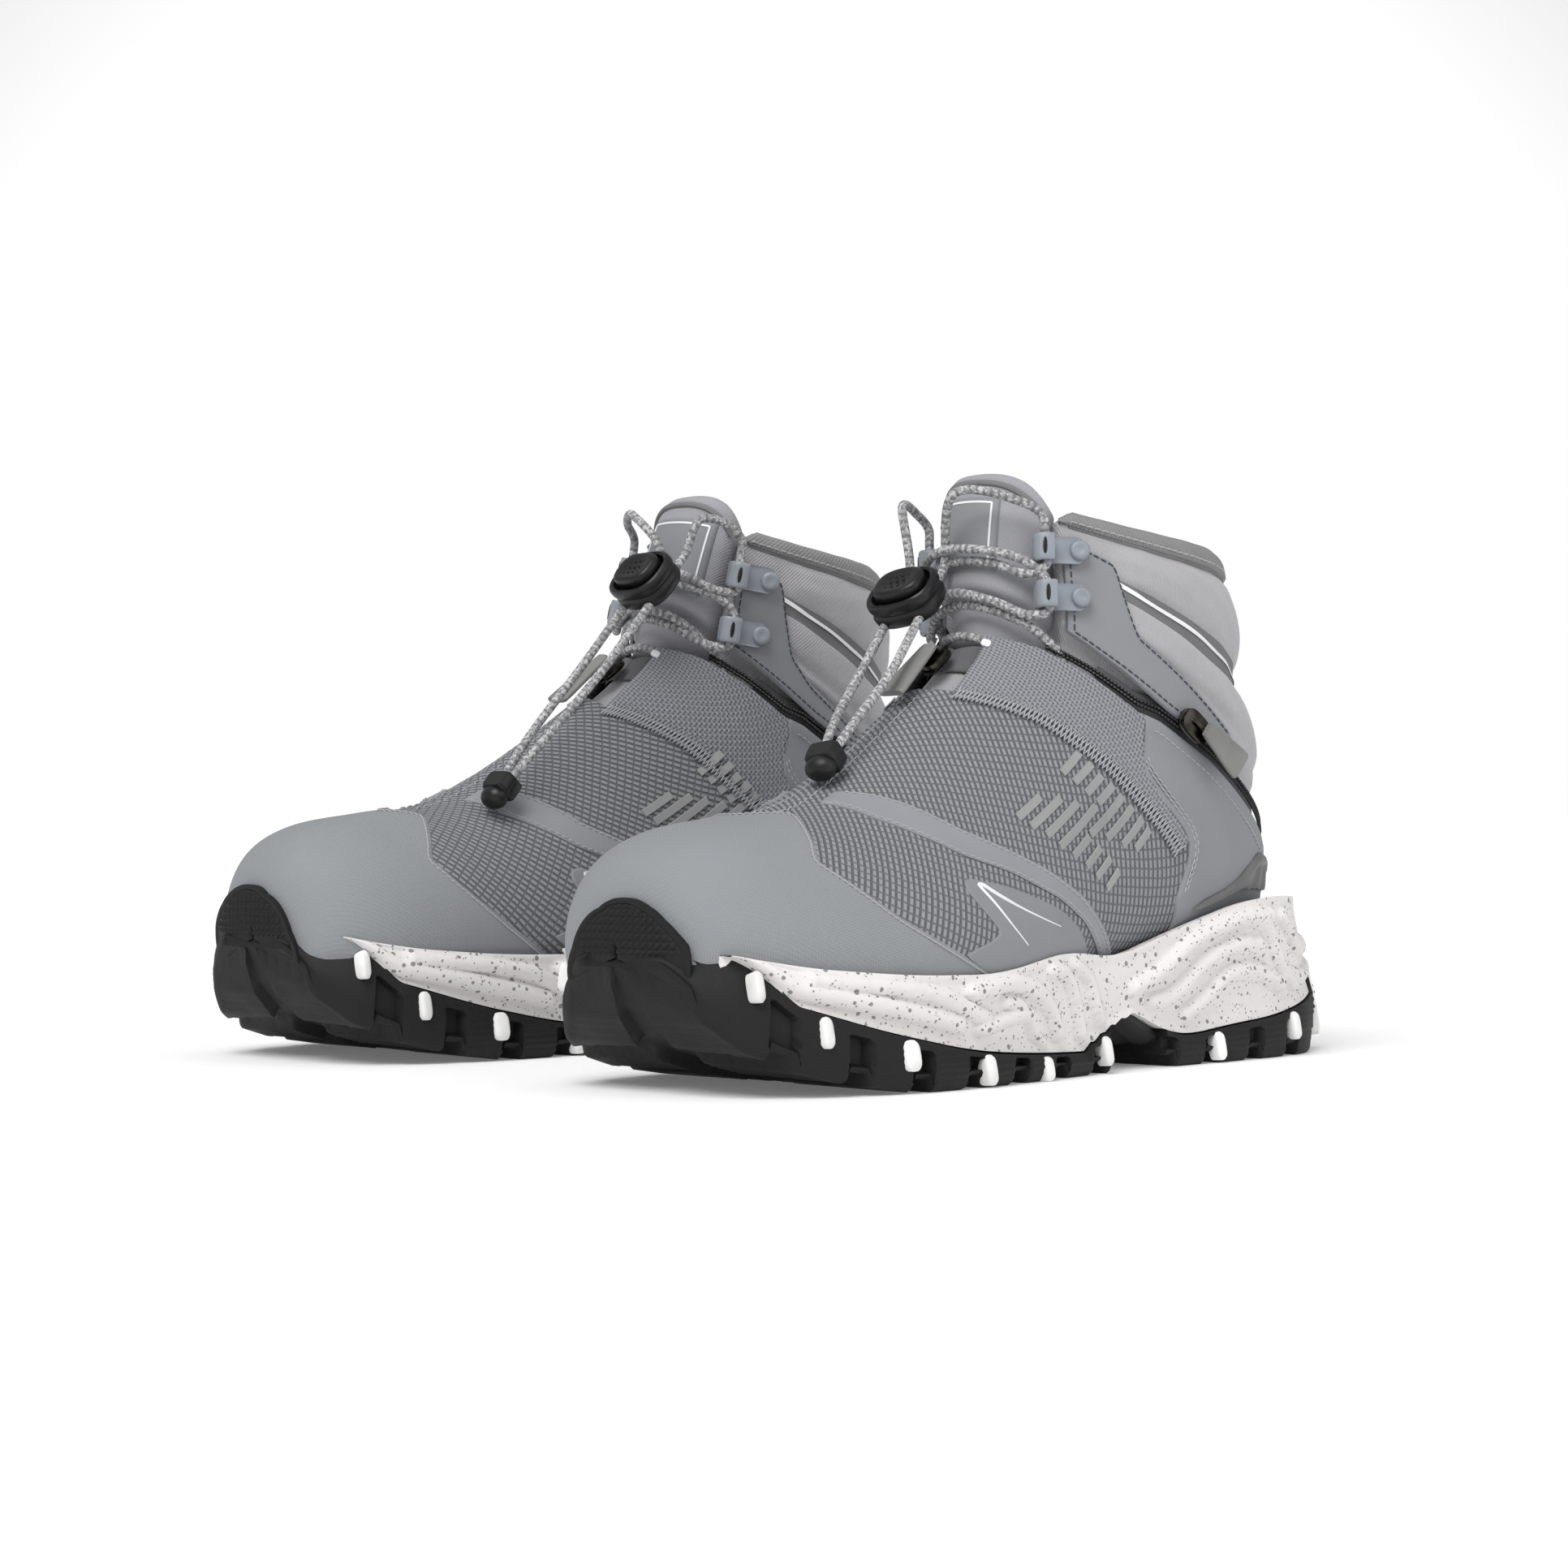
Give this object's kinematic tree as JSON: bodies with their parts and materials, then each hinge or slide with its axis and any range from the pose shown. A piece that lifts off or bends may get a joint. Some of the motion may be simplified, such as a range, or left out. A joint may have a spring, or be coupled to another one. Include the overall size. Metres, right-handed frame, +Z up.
{
  "type": "hiking boots",
  "caption": "Pair of mid-height hiking boots: a low outer shoe zipped to a padded inner boot, with speed lacing, a cord lock, and a lugged sole.",
  "frame": {"origin": "centre of the pair on the ground plane: the middle of the bounding box's bottom face", "axes": "+Z up, toes towards -Y, heels towards +Y, left boot on the +X side"},
  "size_m": [0.2958, 0.309, 0.1951],
  "materials": {
    "toe_cap": "heathered canvas",
    "vamp": "ripstop mesh",
    "elastic": "coarse stretch weave",
    "quarter": "smooth coated fabric",
    "heel_counter": "matte",
    "zip_tape": "twill",
    "lining": "knit",
    "collar": "soft knit",
    "tongue": "mesh",
    "insole": "matte",
    "eyestay": "smooth coated fabric",
    "hook": "satin",
    "lace": "braided elastic",
    "cord_plastic": "matte",
    "slider": "dark metal",
    "pull": "matte",
    "midsole": "speckled foam",
    "outsole": "matte",
    "shank": "matte"
  },
  "bodies": {
    "left_boot": {"left_arch_shank": "shank", "left_bootie": "lining", "left_collar_padding": "collar", "left_cord_end_clip": "cord_plastic", "left_elastic_lateral": "elastic", "left_elastic_medial": "elastic", "left_eyestay_lateral": "eyestay", "left_eyestay_medial": "eyestay", "left_heel_counter": "heel_counter", "left_hook_lateral_lower": "hook", "left_hook_lateral_upper": "hook", "left_hook_medial_lower": "hook", "left_hook_medial_upper": "hook", "left_insole": "insole", "left_lace": "lace", "left_midsole": "midsole", "left_outsole_forefoot": "outsole", "left_outsole_heel": "outsole", "left_quarter": "quarter", "left_toe_cap": "toe_cap", "left_tongue": "tongue", "left_tongue_label": "eyestay", "left_vamp": "vamp", "left_zip_tape": "zip_tape"},
    "right_boot": {"right_arch_shank": "shank", "right_bootie": "lining", "right_collar_padding": "collar", "right_cord_end_clip": "cord_plastic", "right_elastic_lateral": "elastic", "right_elastic_medial": "elastic", "right_eyestay_lateral": "eyestay", "right_eyestay_medial": "eyestay", "right_heel_counter": "heel_counter", "right_hook_lateral_lower": "hook", "right_hook_lateral_upper": "hook", "right_hook_medial_lower": "hook", "right_hook_medial_upper": "hook", "right_insole": "insole", "right_lace": "lace", "right_midsole": "midsole", "right_outsole_forefoot": "outsole", "right_outsole_heel": "outsole", "right_quarter": "quarter", "right_toe_cap": "toe_cap", "right_tongue": "tongue", "right_tongue_label": "eyestay", "right_vamp": "vamp", "right_zip_tape": "zip_tape"},
    "left_front_slider": {"left_zip_slider_front": "slider"},
    "left_front_pull": {"left_zip_pull_front": "pull"},
    "left_side_slider": {"left_zip_slider_side": "slider"},
    "left_side_pull": {"left_zip_pull_side": "pull"},
    "left_cord_lock": {"left_cord_lock_body": "cord_plastic"},
    "left_lock_button": {"left_cord_lock_button": "cord_plastic"},
    "right_front_slider": {"right_zip_slider_front": "slider"},
    "right_front_pull": {"right_zip_pull_front": "pull"},
    "right_side_slider": {"right_zip_slider_side": "slider"},
    "right_side_pull": {"right_zip_pull_side": "pull"},
    "right_cord_lock": {"right_cord_lock_body": "cord_plastic"},
    "right_lock_button": {"right_cord_lock_button": "cord_plastic"}
  },
  "joints": [
    {"name": "boots_apart", "type": "slide", "parent": "left_boot", "child": "right_boot", "axis": [0, 0, 1], "range_m": [0, 0.25]},
    {"name": "left_front_slider_slide", "type": "slide", "parent": "left_boot", "child": "left_front_slider", "axis": [-0.0761, 0.7892, 0.6093], "range_m": [-0.001, 0.004]},
    {"name": "left_front_pull_hinge", "type": "hinge", "parent": "left_front_slider", "child": "left_front_pull", "pos_m": [0.07978, -0.00893, 0.13544], "axis": [-0.9969, -0.0716, -0.0317], "range_deg": [0, 8]},
    {"name": "left_side_slider_slide", "type": "slide", "parent": "left_boot", "child": "left_side_slider", "axis": [-0.1029, -0.9947, -0.002], "range_m": [-0.01, 0.012]},
    {"name": "left_side_pull_hinge", "type": "hinge", "parent": "left_side_slider", "child": "left_side_pull", "pos_m": [0.12949, 0.06974, 0.11071], "axis": [0.0393, -0.002, -0.9992], "range_deg": [0, 100]},
    {"name": "left_cord_lock_slide", "type": "slide", "parent": "left_boot", "child": "left_cord_lock", "axis": [0.2602, -0.72, -0.6434], "range_m": [0, 0.012]},
    {"name": "left_lock_button_press", "type": "slide", "parent": "left_cord_lock", "child": "left_lock_button", "axis": [-0.0202, 0.6621, -0.7491], "range_m": [0, 0.002], "stiffness_N_per_m": 800},
    {"name": "right_front_slider_slide", "type": "slide", "parent": "right_boot", "child": "right_front_slider", "axis": [0.0761, 0.7892, 0.6093], "range_m": [-0.001, 0.004]},
    {"name": "right_front_pull_hinge", "type": "hinge", "parent": "right_front_slider", "child": "right_front_pull", "pos_m": [-0.07978, -0.00893, 0.13544], "axis": [-0.9969, 0.0716, 0.0317], "range_deg": [0, 8]},
    {"name": "right_side_slider_slide", "type": "slide", "parent": "right_boot", "child": "right_side_slider", "axis": [0.1029, -0.9947, -0.002], "range_m": [-0.01, 0.012]},
    {"name": "right_side_pull_hinge", "type": "hinge", "parent": "right_side_slider", "child": "right_side_pull", "pos_m": [-0.12949, 0.06974, 0.11071], "axis": [0.0393, 0.002, 0.9992], "range_deg": [0, 100]},
    {"name": "right_cord_lock_slide", "type": "slide", "parent": "right_boot", "child": "right_cord_lock", "axis": [-0.0025, -0.6763, -0.7366], "range_m": [0, 0.012]},
    {"name": "right_lock_button_press", "type": "slide", "parent": "right_cord_lock", "child": "right_lock_button", "axis": [0.0225, 0.7364, -0.6762], "range_m": [0, 0.002], "stiffness_N_per_m": 800}
  ]
}
